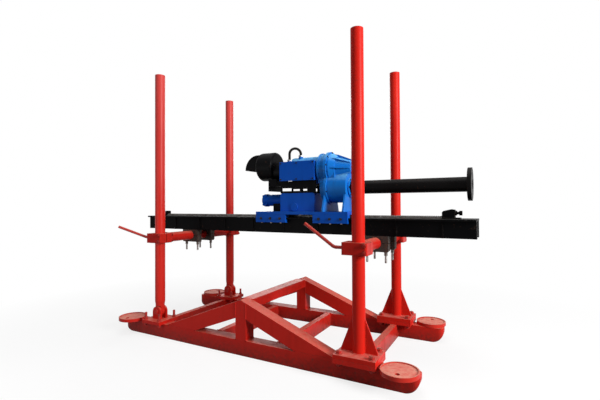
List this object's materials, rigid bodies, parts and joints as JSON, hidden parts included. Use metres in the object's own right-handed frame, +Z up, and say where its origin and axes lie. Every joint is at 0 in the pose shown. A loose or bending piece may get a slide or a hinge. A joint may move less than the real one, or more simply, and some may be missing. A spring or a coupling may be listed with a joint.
{
  "type": "drill_rig",
  "caption": "Four-column drill rig on a welded sled, with a clamped feed rail, a geared feed carriage and a motor-driven spindle.",
  "frame": {"origin": "on the floor, under the middle of the feed rail", "axes": "+X along the rail towards the drill flange, +Y across the sled, +Z up"},
  "size_m": [3.21, 1.3736, 2.38],
  "materials": {
    "red_paint": "gloss",
    "zinc_steel": "satin",
    "dark_steel": "matte",
    "black_paint": "satin",
    "machined_steel": "satin",
    "blue_paint": "gloss",
    "black_rubber": "matte"
  },
  "bodies": {
    "sled": {"runner_near": "red_paint", "runner_far": "red_paint", "post_near": "red_paint", "post_far": "red_paint", "brace_near_rear": "red_paint", "brace_near_front": "red_paint", "brace_far_rear": "red_paint", "brace_far_front": "red_paint", "ridge_beam": "red_paint", "cross_beam_rear": "red_paint", "cross_beam_front": "red_paint", "middle_beams": "red_paint", "prop_pans": "red_paint", "front_seats": "red_paint", "column_front_near": "red_paint", "column_front_far": "red_paint", "rear_clevises": "red_paint", "column_rear_near": "red_paint", "column_rear_far": "red_paint", "clevis_pins": "zinc_steel", "base_bolts": "zinc_steel"},
    "front_cross": {"front_cross_tube": "red_paint", "front_clamps": "red_paint", "front_clamp_bolts": "zinc_steel"},
    "rear_cross": {"rear_cross_tube": "red_paint", "rear_clamps": "red_paint", "rear_clamp_bolts": "zinc_steel"},
    "lever_front_near": {"handle_front_near": "red_paint"},
    "lever_front_far": {"handle_front_far": "red_paint"},
    "lever_rear_near": {"handle_rear_near": "red_paint"},
    "lever_rear_far": {"handle_rear_far": "red_paint"},
    "rear_saddle": {"rear_saddles": "dark_steel", "rear_saddle_studs": "dark_steel"},
    "rail": {"rail_side_near": "black_paint", "rail_side_far": "black_paint", "rail_deck": "black_paint", "feed_rack": "machined_steel", "rear_stop": "black_paint", "front_stop": "black_paint", "front_saddles": "dark_steel", "front_saddle_studs": "dark_steel"},
    "carriage": {"carriage_plate": "blue_paint", "carriage_skirts": "blue_paint", "carriage_bolts": "zinc_steel", "motor_frame": "blue_paint", "fan_cowl": "black_paint", "terminal_box": "blue_paint", "motor_conduit": "black_rubber", "motor_bracket": "black_paint", "gear_case": "blue_paint", "gear_cover": "blue_paint", "spindle_housing": "blue_paint", "bearings": "machined_steel", "feed_gearbox": "blue_paint", "feed_motor": "blue_paint"},
    "spindle": {"spindle_tube": "black_paint", "spindle_gear": "machined_steel"},
    "lay": {"lay_shaft": "machined_steel"},
    "rotor": {"motor_rotor": "machined_steel"},
    "pinion": {"feed_pinion": "machined_steel"}
  },
  "joints": [
    {"name": "lift", "type": "slide", "parent": "sled", "child": "front_cross", "axis": [0, 0, 1], "range_m": [-0.38, 1.25]},
    {"name": "rail_tilt", "type": "hinge", "parent": "front_cross", "child": "rail", "pos_m": [0.8975, 0, 0.882], "axis": [0, 1, 0], "range_deg": [-4, 4]},
    {"name": "rear_level", "type": "slide", "parent": "front_cross", "child": "rear_cross", "axis": [0, 0, 1], "range_m": [-0.135, 0.135]},
    {"name": "rear_saddle_turn", "type": "hinge", "parent": "rear_cross", "child": "rear_saddle", "pos_m": [-1.0175, 0, 0.882], "axis": [0, 1, 0], "range_deg": [-4.1, 4.1]},
    {"name": "turn_front_near", "type": "hinge", "parent": "front_cross", "child": "lever_front_near", "pos_m": [0.8975, -0.5, 0.882], "axis": [1, 0, 0], "range_deg": [-180, 180]},
    {"name": "turn_front_far", "type": "hinge", "parent": "front_cross", "child": "lever_front_far", "pos_m": [0.8975, 0.5, 0.882], "axis": [1, 0, 0], "range_deg": [-180, 180]},
    {"name": "turn_rear_near", "type": "hinge", "parent": "rear_cross", "child": "lever_rear_near", "pos_m": [-1.0175, -0.5, 0.882], "axis": [1, 0, 0], "range_deg": [-180, 180]},
    {"name": "turn_rear_far", "type": "hinge", "parent": "rear_cross", "child": "lever_rear_far", "pos_m": [-1.0175, 0.5, 0.882], "axis": [1, 0, 0], "range_deg": [-180, 180]},
    {"name": "feed", "type": "slide", "parent": "rail", "child": "carriage", "axis": [1, 0, 0], "range_m": [-1.25, 0.67]},
    {"name": "spindle_spin", "type": "hinge", "parent": "carriage", "child": "spindle", "pos_m": [0.615, 0, 1.32], "axis": [1, 0, 0], "continuous": true},
    {"name": "lay_spin", "type": "hinge", "parent": "carriage", "child": "lay", "pos_m": [0.445, 0, 1.42], "axis": [1, 0, 0], "continuous": true},
    {"name": "rotor_spin", "type": "hinge", "parent": "carriage", "child": "rotor", "pos_m": [0.215, 0, 1.4825], "axis": [1, 0, 0], "continuous": true},
    {"name": "pinion_spin", "type": "hinge", "parent": "carriage", "child": "pinion", "pos_m": [0.18, 0, 1.127], "axis": [0, 1, 0], "range_deg": [-1800, 970]}
  ],
  "couplings": [
    {"joint": "rear_level", "follows": "rail_tilt", "m_per_rad": 1.915},
    {"joint": "rear_saddle_turn", "follows": "rail_tilt", "ratio": 1},
    {"joint": "lay_spin", "follows": "spindle_spin", "ratio": -3},
    {"joint": "rotor_spin", "follows": "spindle_spin", "ratio": 6.375},
    {"joint": "pinion_spin", "follows": "feed", "rad_per_m": 25}
  ]
}
